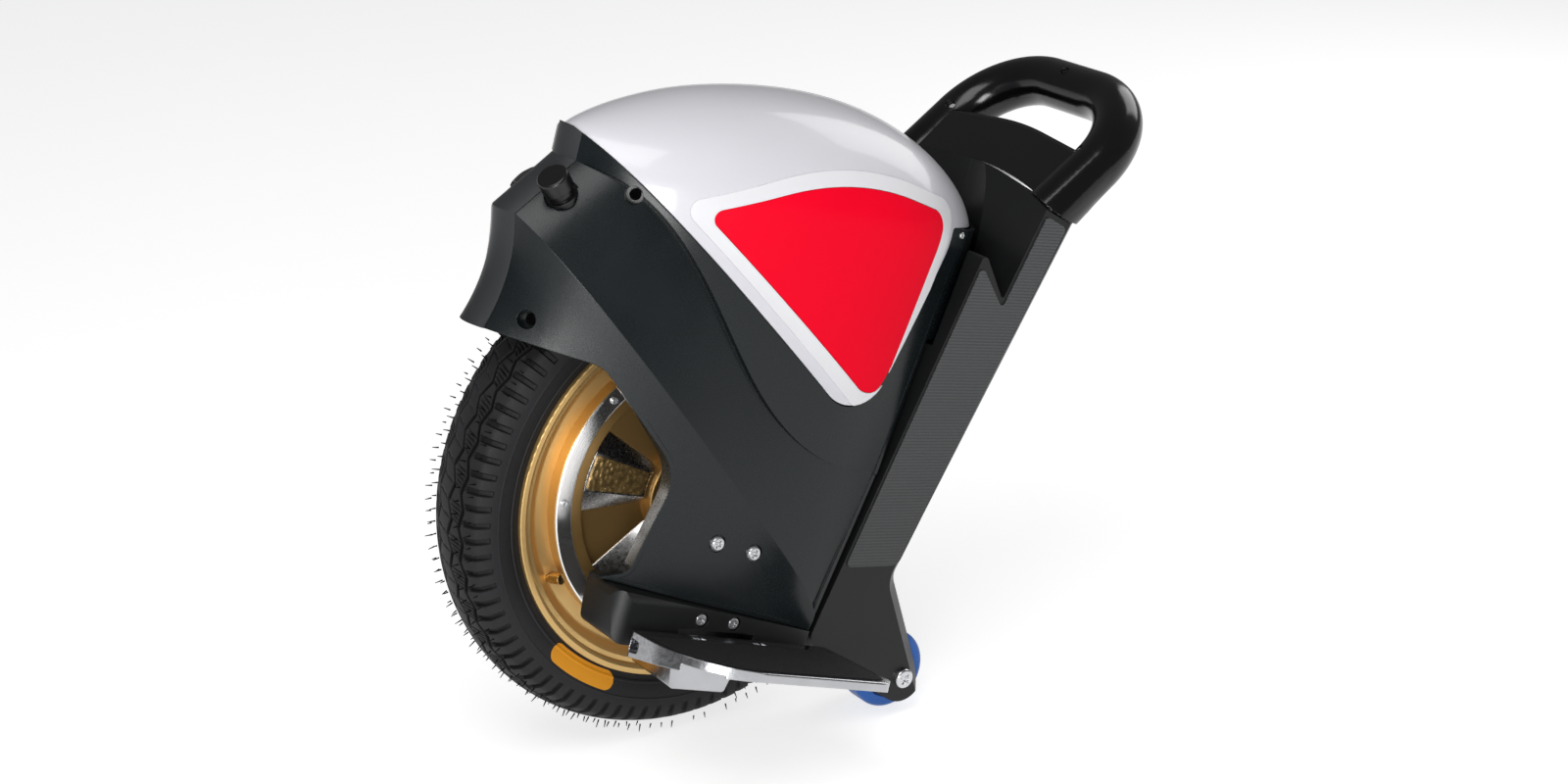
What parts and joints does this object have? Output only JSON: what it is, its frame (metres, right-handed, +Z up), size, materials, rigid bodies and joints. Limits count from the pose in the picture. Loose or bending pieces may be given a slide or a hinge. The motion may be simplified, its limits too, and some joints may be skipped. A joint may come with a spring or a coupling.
{
  "type": "electric unicycle",
  "caption": "Self-balancing electric unicycle leaning on its rear rollers, with folding pedals, a domed cover, a hub-motor wheel and a telescopic pull handle.",
  "frame": {"origin": "floor point under the middle of the outer box, as the machine stands on its tyre and rear rollers", "axes": "+X to the rear, along the longest side; +Y to the rider's right, along the axle; +Z up"},
  "size_m": [0.5638, 0.3954, 0.4675],
  "materials": {
    "tyre": "matte black rubber",
    "gold": "matte gold paint",
    "polished": "polished metal",
    "steel": "plain steel",
    "core": "laminated core",
    "copper": "enamelled copper wire",
    "rubber": "soft black rubber",
    "shell": "satin black plastic",
    "mask": "dark grey plastic",
    "dome": "glossy pale plastic",
    "red": "glossy red plastic",
    "weave": "woven-look plastic",
    "cast": "cast aluminium",
    "blue": "blue polyurethane",
    "battery": "shrink-wrapped pack",
    "board": "circuit board"
  },
  "bodies": {
    "chassis": {"stator": "core", "windings": "copper", "stator_hub": "cast", "axle": "steel", "axle_nuts": "steel", "dome_cover": "dome", "dome_panel_left": "red", "dome_panel_right": "red", "front_mask": "mask", "side_shell_left": "shell", "side_shell_right": "shell", "frame_screws": "steel", "column_left": "shell", "column_right": "shell", "column_panel_left": "weave", "column_panel_right": "weave", "collar": "shell", "guide_tubes": "steel", "roller_bearings": "steel", "roller_bolts": "steel", "fork_leg_left": "cast", "fork_leg_right": "cast", "hanger_left": "shell", "hanger_right": "shell", "pedal_bracket_left": "cast", "pedal_bracket_right": "cast", "pedal_pins": "steel", "mudguard": "shell", "battery_left": "battery", "battery_right": "battery", "control_board": "board", "heat_sink": "cast", "motor_lead": "rubber", "charge_socket": "steel", "button_bezel": "shell"},
    "wheel": {"tyre": "tyre", "inner_tube": "rubber", "rim": "gold", "valve": "rubber", "motor_cover_left": "gold", "motor_cover_right": "gold", "cover_spokes": "polished", "spoke_pads": "gold", "trim_rings": "polished", "ring_screws": "steel", "magnets": "core", "bearings": "steel"},
    "handle": {"handle_front": "shell", "handle_rear": "shell", "handle_screws": "steel", "handle_tubes": "cast"},
    "roller_l": {"roller_left": "blue"},
    "roller_r": {"roller_right": "blue"},
    "pedal_l": {"pedal_left": "cast", "pedal_pad_left": "rubber"},
    "pedal_r": {"pedal_right": "cast", "pedal_pad_right": "rubber"},
    "cap": {"charge_cap": "shell"},
    "button": {"power_button": "shell"}
  },
  "joints": [
    {"name": "wheel_spin", "type": "hinge", "parent": "chassis", "child": "wheel", "pos_m": [-0.10088, 0, 0.181], "axis": [0, 1, 0], "continuous": true},
    {"name": "handle_slide", "type": "slide", "parent": "chassis", "child": "handle", "axis": [0.5519, 0, 0.8339], "range_m": [0, 0.19]},
    {"name": "pedal_left_fold", "type": "hinge", "parent": "chassis", "child": "pedal_l", "pos_m": [-0.12823, -0.111, 0.10158], "axis": [-0.9455, 0, 0.3256], "range_deg": [0, 85]},
    {"name": "pedal_right_fold", "type": "hinge", "parent": "chassis", "child": "pedal_r", "pos_m": [-0.12823, 0.111, 0.10158], "axis": [0.9455, 0, -0.3256], "range_deg": [0, 85]},
    {"name": "roller_left_spin", "type": "hinge", "parent": "chassis", "child": "roller_l", "pos_m": [0.03433, -0.076, 0.03], "axis": [0, 1, 0], "continuous": true},
    {"name": "roller_right_spin", "type": "hinge", "parent": "chassis", "child": "roller_r", "pos_m": [0.03433, 0.076, 0.03], "axis": [0, 1, 0], "continuous": true},
    {"name": "charge_cap_lift", "type": "slide", "parent": "chassis", "child": "cap", "axis": [-0.5021, -0.2191, 0.8366], "range_m": [0, 0.03]},
    {"name": "power_press", "type": "slide", "parent": "chassis", "child": "button", "axis": [0.5021, -0.2191, -0.8366], "range_m": [0, 0.002], "stiffness_N_per_m": 800}
  ]
}
